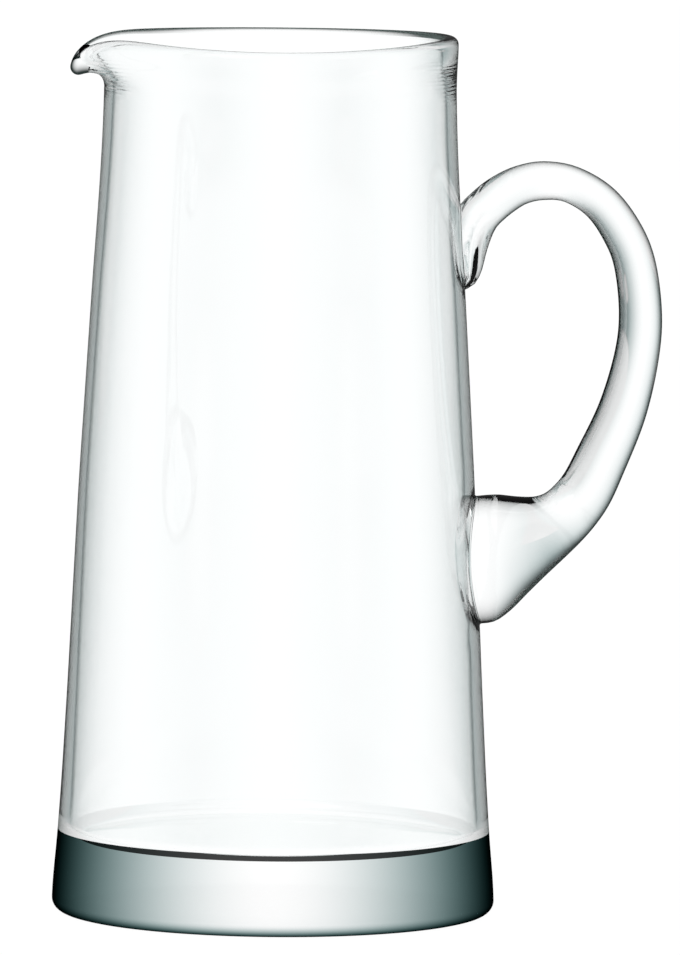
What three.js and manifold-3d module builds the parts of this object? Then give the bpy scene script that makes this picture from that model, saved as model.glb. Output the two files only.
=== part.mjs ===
// Glass jug: a blown, tapering wall with a pulled pouring lip, a heavy solid glass base,
// and a handle drawn from one bit of hot glass, with a round pad below and a pressed-on tail above.
// Millimetres, +Z up, origin on the jug's axis at the resting face. The lip points along -X,
// the handle along +X.

import * as THREE from 'three';
import { mergeVertices } from 'three/addons/utils/BufferGeometryUtils.js';
import Module from 'manifold-3d';

// Driving dimensions of the vessel
const jugHeight = 260.4;
const footRadius = 65.7;
const mouthRadius = 52;
const footRounding = 3.8;
const baseThickness = 21.5;
const wallAtBase = 3.2;
const wallAtMiddle = 2.4;
const wallAtMouth = 2.8;
const floorCove = 5;

// Driving dimensions of the rim and the pouring lip
const rimBead = 4.8;
const beadRun = 8;
const beadFlare = 0.5;
const rimWave = 1.5;
const lipRootDrop = 13.5;
const lipBendRadius = 5;
const lipPull = 1.9;
const lipBend = THREE.MathUtils.degToRad(105);
const lipHalfAngle = THREE.MathUtils.degToRad(13);

// Driving dimensions of the handle
const handleReach = 51.5;
const padHeight = 38.2;
const padWidth = 36;
const padCentreHeight = 105.2;
const crownHeight = 217.9;
const rodDiameter = 12.8;
const fusedGap = 0.3;

// The wall's outer radius: pairs of a share of the height and a share of the taper
const taperShares = [
  [0, 0], [0.025, 0], [0.08, 0.105], [0.15, 0.195], [0.26, 0.308], [0.49, 0.515],
  [0.72, 0.775], [0.82, 0.905], [0.88, 0.965], [0.94, 1], [1, 1],
];

// The lip's bend falls off sideways with this power, to half at the lip's half angle
const lipFallPower = 1.5;

// Round the jug, the columns of the wall stand closer together at the lip
const columnCrowdingShare = 0.35;

// Facets
const columns = 84;
const wallRows = 7;
const lipRows = 6;
const rimRows = 5;
const coveRows = 3;
const turnedSides = 96;
const handleSides = 20;
const handleSteps = 66;

// Stations along the handle from the tail's tip over the loop to the pad. Each has the stand-off
// from the wall as a share of the reach, the rise above the pad as a share of the loop's rise,
// the thickness and the width as shares of the rod, and how far the section has become the pad.
const handleStationShares = [
  { out: 0.012, rise: 0.715, thick: 0.12, wide: 0.35, pad: 0 },
  { out: 0.033, rise: 0.752, thick: 0.47, wide: 1.03, pad: 0 },
  { out: 0.04, rise: 0.822, thick: 0.82, wide: 1.33, pad: 0 },
  { out: 0.075, rise: 0.891, thick: 1.05, wide: 1.4, pad: 0 },
  { out: 0.163, rise: 0.932, thick: 1.01, wide: 1.25, pad: 0 },
  { out: 0.252, rise: 0.968, thick: 0.985, wide: 1.09, pad: 0 },
  { out: 0.358, rise: 0.99, thick: 0.945, wide: 1.0, pad: 0 },
  { out: 0.487, rise: 1.0, thick: 0.902, wide: 0.92, pad: 0 },
  { out: 0.639, rise: 0.991, thick: 0.867, wide: 0.89, pad: 0 },
  { out: 0.798, rise: 0.947, thick: 0.89, wide: 0.91, pad: 0 },
  { out: 0.911, rise: 0.875, thick: 0.935, wide: 0.95, pad: 0 },
  { out: 0.98, rise: 0.789, thick: 0.965, wide: 0.98, pad: 0 },
  { out: 1.0, rise: 0.659, thick: 1.0, wide: 1.0, pad: 0 },
  { out: 0.967, rise: 0.542, thick: 1.04, wide: 1.04, pad: 0 },
  { out: 0.869, rise: 0.397, thick: 1.13, wide: 1.12, pad: 0 },
  { out: 0.724, rise: 0.26, thick: 1.22, wide: 1.21, pad: 0.01 },
  { out: 0.562, rise: 0.15, thick: 1.24, wide: 1.26, pad: 0.06 },
  { out: 0.483, rise: 0.108, thick: 1.24, wide: 1.32, pad: 0.14 },
  { out: 0.353, rise: 0.069, thick: 1.24, wide: 1.34, pad: 0.34 },
  { out: 0.233, rise: 0.041, thick: 1.24, wide: 1.3, pad: 0.63 },
  { out: 0.121, rise: 0.008, thick: 1.24, wide: 1.24, pad: 0.9 },
  { out: 0.01, rise: 0, thick: 1.24, wide: 1.24, pad: 0.99 },
  { out: -0.11, rise: 0, thick: 1.24, wide: 1.24, pad: 1 },
];

// Where the lip starts to leave the wall
const lipRoot = jugHeight - lipRootDrop;

const clearGlass = new THREE.MeshStandardMaterial({ color: 0xdfe9e6, roughness: 0.03, metalness: 0 });
const baseGlass = new THREE.MeshStandardMaterial({ color: 0xb9cac8, roughness: 0.03, metalness: 0 });
const handleGlass = new THREE.MeshStandardMaterial({ color: 0xe8efed, roughness: 0.03, metalness: 0 });

// Straight interpolation in a table of pairs
function lookUp(table, at) {
  const next = Math.max(1, table.findIndex(([place]) => place >= at));
  const [fromPlace, fromValue] = table[next - 1];
  const [toPlace, toValue] = table[next];
  return THREE.MathUtils.mapLinear(at, fromPlace, toPlace, fromValue, toValue);
}

// Outer radius of the vessel at a height
function outerRadius(height) {
  const share = THREE.MathUtils.clamp(height / jugHeight, 0, 1);
  return THREE.MathUtils.lerp(footRadius, mouthRadius, lookUp(taperShares, share));
}

// How much of the rim's bead there is at a distance below the rim's top: a bell curve
function beadShare(below) {
  return Math.exp(-((below / beadRun) ** 2));
}

// Wall thickness: thick at the base, thinnest halfway up, stouter at the mouth, and a bead on top
function wallThickness(height, below) {
  const share = (height - baseThickness) / (jugHeight - baseThickness);
  const end = share < 0.5 ? wallAtBase : wallAtMouth;
  const wall = THREE.MathUtils.lerp(wallAtMiddle, end, (2 * share - 1) ** 2);
  return wall + (rimBead - wallAtMouth) * beadShare(below);
}

// Height of the rim's top round the jug: highest at the lip and the handle, lowest between them
function rimHeight(angle) {
  return jugHeight - rimWave * Math.sin(angle) ** 2;
}

// How much of the lip there is round the jug: one at its middle, half at its half angle
function lipShare(angle) {
  const away = Math.abs(angle - Math.PI) / lipHalfAngle;
  return Math.exp(-Math.LN2 * away ** lipFallPower);
}

// A point of the wall. The wall's middle surface climbs from the base to the lip's root, and above
// that it bends outwards along an arc, then runs straight. side is -1 on the inner face and 1 on
// the outer one, and turn goes from -90 to 90 degrees over the rim's round edge.
function wallPoint(angle, climb, side, turn = 0) {
  const top = rimHeight(angle);
  const endHeight = top - rimBead / 2;
  const height = climb <= 1
    ? THREE.MathUtils.lerp(baseThickness, lipRoot, climb)
    : THREE.MathUtils.lerp(lipRoot, endHeight, climb - 1);
  const thickness = wallThickness(height, top - height - rimBead / 2);
  const flare = beadFlare * beadShare(top - height - rimBead / 2);
  let middle = outerRadius(height) + flare - thickness / 2;
  let level = height;
  let lean = 0;
  if (climb > 1) {
    const share = lipShare(angle);
    const bend = lipBend * share;
    const along = (height - lipRoot) * (1 + lipPull * share / (endHeight - lipRoot));
    lean = Math.min(along / lipBendRadius, bend);
    const straight = along - lean * lipBendRadius;
    middle += lipBendRadius * (1 - Math.cos(lean)) + straight * Math.sin(lean);
    level = lipRoot + lipBendRadius * Math.sin(lean) + straight * Math.cos(lean);
  }
  const across = turn ? Math.sin(turn) * thickness / 2 : side * thickness / 2;
  const over = turn ? Math.cos(turn) * thickness / 2 : 0;
  const radius = middle + across * Math.cos(lean) + over * Math.sin(lean);
  return [
    radius * Math.cos(angle),
    radius * Math.sin(angle),
    level - across * Math.sin(lean) + over * Math.cos(lean),
  ];
}

// A closed surface from rings of points: each ring joins the next, and the last joins the first
// or, with ends, both end rings are closed by a fan
function ringSurface(rings, withEnds) {
  const sides = rings[0].length;
  const positions = rings.flat(2);
  const index = [];
  const lastRing = withEnds ? rings.length - 1 : rings.length;
  for (let ring = 0; ring < lastRing; ring += 1) {
    for (let side = 0; side < sides; side += 1) {
      const here = ring * sides + side;
      const beside = ring * sides + (side + 1) % sides;
      const above = ((ring + 1) % rings.length) * sides + side;
      const aboveBeside = ((ring + 1) % rings.length) * sides + (side + 1) % sides;
      index.push(here, beside, aboveBeside, here, aboveBeside, above);
    }
  }
  if (withEnds) {
    for (const [ring, flip] of [[0, true], [rings.length - 1, false]]) {
      const centre = new THREE.Vector3();
      rings[ring].forEach((point) => centre.add(new THREE.Vector3(...point)));
      centre.divideScalar(sides);
      const hub = positions.length / 3;
      positions.push(...centre.toArray());
      for (let side = 0; side < sides; side += 1) {
        const here = ring * sides + side;
        const beside = ring * sides + (side + 1) % sides;
        index.push(hub, flip ? beside : here, flip ? here : beside);
      }
    }
  }
  const geometry = new THREE.BufferGeometry();
  geometry.setAttribute('position', new THREE.Float32BufferAttribute(positions, 3));
  geometry.setIndex(index);
  geometry.computeVertexNormals();
  return geometry;
}

// Evenly spaced shares from zero up to, but not including, one
function steps(count) {
  return Array.from({ length: count }, (_, step) => step / count);
}

// The blown wall: up the outer face, over the rim and down the inner face to the cove at the floor
function wallGeometry() {
  const angles = steps(columns).map((share) => {
    const turn = 2 * Math.PI * share;
    return turn + columnCrowdingShare * Math.sin(turn);
  });
  const ringAt = (...place) => angles.map((angle) => wallPoint(angle, ...place));
  const coveTop = floorCove / (lipRoot - baseThickness);
  const rings = [];
  steps(wallRows).forEach((share) => rings.push(ringAt(share, 1)));
  steps(lipRows).forEach((share) => rings.push(ringAt(1 + share, 1)));
  for (let row = 0; row <= rimRows; row += 1) {
    const turn = Math.PI * (0.5 - row / rimRows);
    rings.push(ringAt(2, Math.sign(turn), turn));
  }
  steps(lipRows).forEach((share) => {
    if (share) {
      rings.push(ringAt(2 - share, -1));
    }
  });
  steps(wallRows).forEach((share) => rings.push(ringAt(1 - share * (1 - coveTop), -1)));
  for (let row = 0; row <= coveRows; row += 1) {
    const turn = Math.PI / 2 * row / coveRows;
    const level = floorCove * (1 - Math.sin(turn));
    const inset = floorCove * (1 - Math.cos(turn));
    rings.push(angles.map((angle) => {
      const [x, y, z] = wallPoint(angle, coveTop * level / floorCove, -1);
      const radius = Math.hypot(x, y);
      return [x * (radius - inset) / radius, y * (radius - inset) / radius, z];
    }));
  }
  return ringSurface(rings, false);
}

// A solid of revolution about +Z from an outline that starts and ends on the axis
function turned(outline) {
  const geometry = new THREE.LatheGeometry(outline.map(([r, z]) => new THREE.Vector2(r, z)), turnedSides);
  geometry.rotateX(Math.PI / 2);
  return geometry;
}

// The heavy base: a flat resting face, a rounded foot edge and a flat top that the wall is fused to
function baseGeometry() {
  const outline = [[0, 0]];
  const roundingSteps = 5;
  for (let step = 0; step <= roundingSteps; step += 1) {
    const turn = Math.PI / 2 * step / roundingSteps;
    outline.push([
      footRadius - footRounding * (1 - Math.sin(turn)),
      footRounding * (1 - Math.cos(turn)),
    ]);
  }
  taperShares
    .map(([share]) => share * jugHeight)
    .filter((height) => height > footRounding && height < baseThickness)
    .forEach((height) => outline.push([outerRadius(height), height]));
  outline.push([outerRadius(baseThickness), baseThickness], [0, baseThickness]);
  return turned(outline);
}

// The handle's middle line, and its sections' thickness, width and share of the pad, as two curves
// over the same stations
function handleCurves() {
  const middle = [];
  const sizes = [];
  handleStationShares.forEach(({ out, rise, thick, wide, pad }) => {
    const height = THREE.MathUtils.lerp(padCentreHeight, crownHeight, rise);
    const stand = outerRadius(height) + out * handleReach;
    middle.push(new THREE.Vector3(stand, 0, height));
    sizes.push(new THREE.Vector3(
      THREE.MathUtils.lerp(rodDiameter * thick, padHeight, pad),
      THREE.MathUtils.lerp(rodDiameter * wide, padWidth, pad),
      pad,
    ));
  });
  return {
    middle: new THREE.CatmullRomCurve3(middle, false, 'catmullrom', 0.5),
    sizes: new THREE.CatmullRomCurve3(sizes, false, 'catmullrom', 0.5),
  };
}

// The drawn handle: oval sections carried square to the middle line, which turn to stand upright
// against the wall as the rod becomes the pad
function handleGeometry() {
  const { middle, sizes } = handleCurves();
  const intoWall = new THREE.Vector3(-1, 0, 0);
  const rings = [];
  for (let step = 0; step <= handleSteps; step += 1) {
    const share = step / handleSteps;
    const centre = middle.getPoint(share);
    const size = sizes.getPoint(share);
    const along = middle.getTangent(share).lerp(intoWall, size.z).normalize();
    rings.push(steps(handleSides).map((around) => {
      const turn = 2 * Math.PI * around;
      const outward = Math.cos(turn) * size.x / 2;
      return [
        centre.x - along.z * outward,
        -Math.sin(turn) * size.y / 2,
        centre.z + along.x * outward,
      ];
    }));
  }
  return ringSurface(rings, true);
}

// The space that the wall takes up, with the fused joint's gap round it, for trimming the handle
function wallEnvelope() {
  const low = padCentreHeight - padHeight;
  const high = crownHeight + rodDiameter;
  const outline = [[0, low], [outerRadius(low) + fusedGap, low]];
  taperShares
    .map(([share]) => share * jugHeight)
    .filter((height) => height > low && height < high)
    .forEach((height) => outline.push([outerRadius(height) + fusedGap, height]));
  outline.push([outerRadius(high) + fusedGap, high], [0, high]);
  return turned(outline);
}

const wasm = await Module();
wasm.setup();

// A closed mesh as a solid, with its shared points merged and its empty triangles left out
function toSolid(geometry) {
  const bare = geometry.clone();
  bare.deleteAttribute('normal');
  bare.deleteAttribute('uv');
  const merged = mergeVertices(bare);
  const corners = merged.index.array;
  const triangles = [];
  for (let at = 0; at < corners.length; at += 3) {
    const [a, b, c] = corners.slice(at, at + 3);
    if (a !== b && b !== c && c !== a) {
      triangles.push(a, b, c);
    }
  }
  return new wasm.Manifold(new wasm.Mesh({
    numProp: 3,
    vertProperties: new Float32Array(merged.attributes.position.array),
    triVerts: new Uint32Array(triangles),
  }));
}

function toGeometry(solid) {
  const mesh = solid.getMesh();
  const geometry = new THREE.BufferGeometry();
  geometry.setAttribute('position', new THREE.BufferAttribute(mesh.vertProperties, 3));
  geometry.setIndex(new THREE.BufferAttribute(mesh.triVerts, 1));
  geometry.computeVertexNormals();
  return geometry;
}

// The handle's two ends are cut to the wall's curve
function trimmedHandle() {
  return toGeometry(toSolid(handleGeometry()).subtract(toSolid(wallEnvelope())));
}

function piece(name, geometry, material) {
  const mesh = new THREE.Mesh(geometry, material);
  mesh.name = name;
  return mesh;
}

const jug = new THREE.Group();
jug.add(
  piece('blown_wall', wallGeometry(), clearGlass),
  piece('heavy_base', baseGeometry(), baseGlass),
  piece('drawn_handle', trimmedHandle(), handleGlass),
);

export default jug;
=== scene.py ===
"""A clear glass jug: a blown, tapering wall with a pulled lip, a heavy solid base and a drawn handle.

The glassblower fuses wall, base and handle while they are hot, so the jug is one unbroken body of glass
and its surface is worked out here as one closed skin. Lengths are in millimetres, and become metres when
the mesh is made. The jug stands on z = 0 on its own axis, with the lip along -X and the handle along +X.
"""

import logging
import math
from dataclasses import dataclass
from enum import Enum, IntEnum

import bpy
import numpy as np
from bpy.types import ID, Material, Node, NodeSocket, NodeTree, Object, World
from mathutils import Matrix, Vector


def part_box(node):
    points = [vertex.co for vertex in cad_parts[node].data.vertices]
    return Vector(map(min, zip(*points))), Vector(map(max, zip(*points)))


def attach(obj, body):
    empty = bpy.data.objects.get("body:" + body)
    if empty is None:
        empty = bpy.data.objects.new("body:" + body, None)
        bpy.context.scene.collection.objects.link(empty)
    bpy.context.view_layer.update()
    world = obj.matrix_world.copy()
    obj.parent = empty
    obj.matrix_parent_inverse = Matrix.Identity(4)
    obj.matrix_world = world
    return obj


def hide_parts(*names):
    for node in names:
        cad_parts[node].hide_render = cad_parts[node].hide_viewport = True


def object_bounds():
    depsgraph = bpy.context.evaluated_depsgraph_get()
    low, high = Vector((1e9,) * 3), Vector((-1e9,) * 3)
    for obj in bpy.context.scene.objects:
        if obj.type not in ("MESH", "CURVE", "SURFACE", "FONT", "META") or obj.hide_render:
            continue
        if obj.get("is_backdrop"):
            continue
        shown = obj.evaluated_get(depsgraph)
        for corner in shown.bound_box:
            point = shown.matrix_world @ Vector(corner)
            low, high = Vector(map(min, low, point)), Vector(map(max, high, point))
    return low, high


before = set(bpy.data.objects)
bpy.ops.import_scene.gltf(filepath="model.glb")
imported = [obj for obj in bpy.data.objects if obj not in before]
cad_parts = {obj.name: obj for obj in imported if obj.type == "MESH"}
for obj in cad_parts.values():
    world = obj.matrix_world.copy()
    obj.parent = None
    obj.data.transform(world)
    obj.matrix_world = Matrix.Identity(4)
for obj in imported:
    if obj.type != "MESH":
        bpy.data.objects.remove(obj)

Array = np.ndarray
LOG = logging.getLogger("glass_jug")
METRES_PER_MM = 0.001
WHITE = "#FFFFFF"

# Settings that several shader nodes share.
EASED = {"interpolation_type": "SMOOTHSTEP"}
TIMES = {"operation": "MULTIPLY"}
LESS = {"operation": "SUBTRACT"}
POWER = {"operation": "POWER"}
UNSIGNED = {"operation": "ABSOLUTE"}


class Face(Enum):
    """The two faces of the blown wall, as the turn over the rim's round edge that leads to each."""

    OUTER = math.pi / 2
    INNER = -math.pi / 2


class JointEnd(Enum):
    """The two ends of the handle that are fused to the wall."""

    TAIL = "tail"
    PAD = "pad"


class Slot(IntEnum):
    """The material slots of the jug's skin."""

    WALL = 0
    BASE = 1
    HANDLE = 2
    RIM = 3
    INSIDE = 4
    LIP = 5
    FLOOR = 6


def node_top_mm(node: str) -> Array:
    """The highest corner of a node of the frame, in millimetres."""
    return np.array(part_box(node)[1]) / METRES_PER_MM


def ease(share: Array) -> Array:
    """A smooth rise from zero to one, level at both ends: 3 s squared less 2 s cubed."""
    cut = np.clip(share, 0.0, 1.0)
    return cut * cut * (3.0 - 2.0 * cut)


def blend(start: Array, end: Array, share: Array) -> Array:
    """Straight interpolation from one value, at share zero, to another, at share one."""
    return start + (end - start) * share


def cubic(start: Array, end: Array, leave: Array, arrive: Array, t: Array) -> Array:
    """The cubic from one value to another, with a given slope at each.

    Args:
        start: the value at zero.
        end: the value at one.
        leave: the slope at zero.
        arrive: the slope at one.
        t: the places between.

    Returns:
        The values there.
    """
    value = start * (2 * t ** 3 - 3 * t ** 2 + 1) + end * (3 * t ** 2 - 2 * t ** 3)
    return value + leave * (t ** 3 - 2 * t ** 2 + t) + arrive * (t ** 3 - t ** 2)


def even_shares(count: int) -> Array:
    """The even shares above zero and up to one, one to a row."""
    return (np.arange(1, count + 1) / count)[:, None]


def round_axis(radius: Array, angle: Array, level: Array) -> Array:
    """The points at a radius and an angle round the jug's axis and at a level, in X, Y and Z."""
    parts = np.broadcast_arrays(radius * np.cos(angle), radius * np.sin(angle), level)
    return np.stack(parts, axis=-1)


def run_along(points: Array) -> Array:
    """The length along a row of points up to each of them."""
    return np.concatenate([[0.0], np.cumsum(np.linalg.norm(np.diff(points, axis=0), axis=1))])


@dataclass
class Vessel:
    """The blown wall with its rim and lip, and the heavy base under it."""

    height: float
    foot_radius: float
    floor_level: float
    mouth_radius: float = 52.0
    foot_rounding: float = 3.8
    underside_dish: float = 0.35
    wall_at_base: float = 3.2
    wall_at_middle: float = 2.4
    wall_at_mouth: float = 2.8
    lip_side_thinning: float = 0.3
    floor_cove: float = 5.0
    floor_crown: float = 0.4
    rim_bead: float = 4.8
    bead_run: float = 8.0
    bead_flare: float = 0.5
    rim_wave: float = 1.5
    rim_lean: float = 0.9
    lip_root_drop: float = 15.3
    lip_bend_radius: float = 6.0
    lip_pull: float = 0.2
    lip_bend: float = math.radians(105.0)
    lip_half_angle: float = math.radians(13.0)
    lip_fall_power: float = 1.5
    taper_softness: float = 5.0
    bell_steps: int = 20
    bell_reach: float = 4.0
    taper_place_shares: tuple[float, ...] = (0, 0.025, 0.08, 0.15, 0.26, 0.49, 0.72, 0.82, 0.88, 0.94, 1)
    taper_shares: tuple[float, ...] = (0, 0, 0.105, 0.195, 0.308, 0.515, 0.775, 0.905, 0.965, 1, 1)

    def __post_init__(self) -> None:
        """Rounds the kinks of the taper's straight stretches with a bell-shaped running mean."""
        step = self.taper_softness / self.bell_steps
        margin = self.bell_reach * self.taper_softness
        self.radius_levels = np.arange(-margin, self.height + margin, step)
        shares = np.interp(self.radius_levels / self.height, self.taper_place_shares, self.taper_shares)
        bell = np.exp(-0.5 * (np.arange(-margin, margin + step, step) / self.taper_softness) ** 2)
        half = len(bell) // 2
        padded = np.pad(shares, half, mode="edge")
        soft = np.convolve(padded, bell / bell.sum(), mode="same")[half:][:len(shares)]
        self.radii = blend(self.foot_radius, self.mouth_radius, soft)

    @property
    def lip_root(self) -> float:
        """The level at which the lip starts to leave the wall."""
        return self.height - self.lip_root_drop

    def outer_radius(self, level: Array) -> Array:
        """The outer radius at a level, before the lip is pulled."""
        return np.interp(level, self.radius_levels, self.radii)

    def outer_point(self, angle: Array, level: Array) -> Array:
        """A point of the outer face below the lip's root, from its angle and its level."""
        return round_axis(self.outer_radius(level), angle, level)

    def rim_top(self, angle: Array) -> Array:
        """The level of the rim's top: highest at lip and handle, and lower in front than at the back.

        It falls by the rim's wave times the sine squared, less at the back, where the sine is above zero.
        """
        away = np.sin(angle)
        return self.height - self.rim_wave * away ** 2 + self.rim_lean * away * np.abs(away)

    def bead_share(self, below: Array) -> Array:
        """How much of the rim's bead there is at a distance below the rim: a bell curve."""
        return np.exp(-((below / self.bead_run) ** 2))

    def thickness(self, angle: Array, level: Array, below: Array) -> Array:
        """The wall's thickness: a parabola over the height, less at the lip's side, and the rim's bead.

        Args:
            angle: the place round the jug.
            level: the height on the wall.
            below: the distance below the rim's bead.

        Returns:
            The thickness there.
        """
        share = (level - self.floor_level) / (self.height - self.floor_level)
        end = np.where(share < 0.5, self.wall_at_base, self.wall_at_mouth)
        from_middle = (2.0 * share - 1.0) ** 2
        wall = blend(self.wall_at_middle, end, from_middle)
        wall = wall + self.lip_side_thinning * np.cos(angle) * np.maximum(1.0 - from_middle, 0.0)
        return wall + (self.rim_bead - self.wall_at_mouth) * self.bead_share(below)

    def lip_share(self, angle: Array) -> Array:
        """How much of the lip there is round the jug: one at its middle, half at its half angle."""
        away = np.abs(np.angle(-np.exp(1j * angle))) / self.lip_half_angle
        return np.exp(-math.log(2.0) * away ** self.lip_fall_power)

    def wall_point(self, angle: Array, climb: Array, turn: Array) -> Array:
        """A point of the wall.

        The wall's middle surface climbs straight up to the lip's root, bends outwards there along an arc
        of the bend radius, through the lip's bend times the lip's share at that angle, and then runs
        straight. The faces lie half a thickness to both sides, joined over the rim by a half circle.

        Args:
            angle: the place round the jug.
            climb: zero at the resting face, one at the lip's root, two where the rim's round edge starts.
            turn: the turn over the rim's round edge, or a face's own turn below it.

        Returns:
            The points, with their coordinates on the last axis.
        """
        end = self.rim_top(angle) - self.rim_bead / 2.0
        level = np.where(climb <= 1.0, self.lip_root * climb, blend(self.lip_root, end, climb - 1.0))
        below = end - level
        thickness = self.thickness(angle, level, below)
        middle = self.outer_radius(level) + self.bead_flare * self.bead_share(below) - thickness / 2.0
        share = self.lip_share(angle)
        above = np.maximum(level - self.lip_root, 0.0)
        along = above * (1.0 + self.lip_pull * share / (end - self.lip_root))
        lean = np.minimum(along / self.lip_bend_radius, self.lip_bend * share)
        straight = along - lean * self.lip_bend_radius
        middle = middle + self.lip_bend_radius * (1.0 - np.cos(lean)) + straight * np.sin(lean)
        level = level - above + self.lip_bend_radius * np.sin(lean) + straight * np.cos(lean)
        across = np.sin(turn) * thickness / 2.0
        over = np.cos(turn) * thickness / 2.0
        radius = middle + across * np.cos(lean) + over * np.sin(lean)
        return round_axis(radius, angle, level - across * np.sin(lean) + over * np.cos(lean))

    def underside_and_foot(self, angle: Array, dish_count: int, foot_count: int) -> Array:
        """The dished underside from near its middle, and the quarter circle round the foot.

        The dish's level is its depth times the square of one less the radius share squared.

        Args:
            angle: the places round the jug.
            dish_count: how many rows the dish has.
            foot_count: how many rows the foot has, without its first.

        Returns:
            The rows' points, from the middle outwards.
        """
        share = even_shares(dish_count)
        level = self.underside_dish * (1.0 - share ** 2) ** 2
        dish = round_axis(share * (self.foot_radius - self.foot_rounding), angle, level)
        turn = even_shares(foot_count) * math.pi / 2.0
        level = self.foot_rounding * (1.0 - np.cos(turn))
        radius = self.outer_radius(level) - self.foot_rounding * (1.0 - np.sin(turn))
        return np.concatenate([dish, round_axis(radius, angle, level)])

    def cove_and_floor(self, angle: Array, cove_count: int, floor_count: int) -> Array:
        """The quarter-round cove between wall and floor, and the crowned floor to near its middle.

        Args:
            angle: the places round the jug.
            cove_count: how many rows the cove has, without its first.
            floor_count: how many rows the floor has, without its first.

        Returns:
            The rows' points, from the wall inwards.
        """
        turn = even_shares(cove_count) * math.pi / 2.0
        level = self.floor_level + self.floor_cove * (1.0 - np.sin(turn))
        face = self.wall_point(angle, level / self.lip_root, Face.INNER.value)
        radius = np.hypot(face[..., 0], face[..., 1]) - self.floor_cove * (1.0 - np.cos(turn))
        cove = round_axis(radius, angle, level)
        share = 1.0 - even_shares(floor_count)[:-1]
        level = self.floor_level + self.floor_crown * (1.0 - share ** 2) ** 2
        return np.concatenate([cove, round_axis(share * radius[-1], angle, level)])


@dataclass(frozen=True)
class Fold:
    """A narrow ridge along the handle's edge, where the hot glass was drawn off or laid on."""

    centre: float
    run: float
    turn: float
    spread: float
    depth: float
    edge_power: float

    def share(self, length: Array, turn: Array) -> Array:
        """The share of the handle's width that the fold takes: a flat bell along it times one round it.

        Args:
            length: the length along the handle.
            turn: the turn round the section.

        Returns:
            The share there.
        """
        along = np.exp(-(((length - self.centre) / self.run) ** 4))
        around = np.abs(np.angle(np.exp(1j * (turn - self.turn))))
        return self.depth * along * np.exp(-((around / self.spread) ** self.edge_power))


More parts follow.
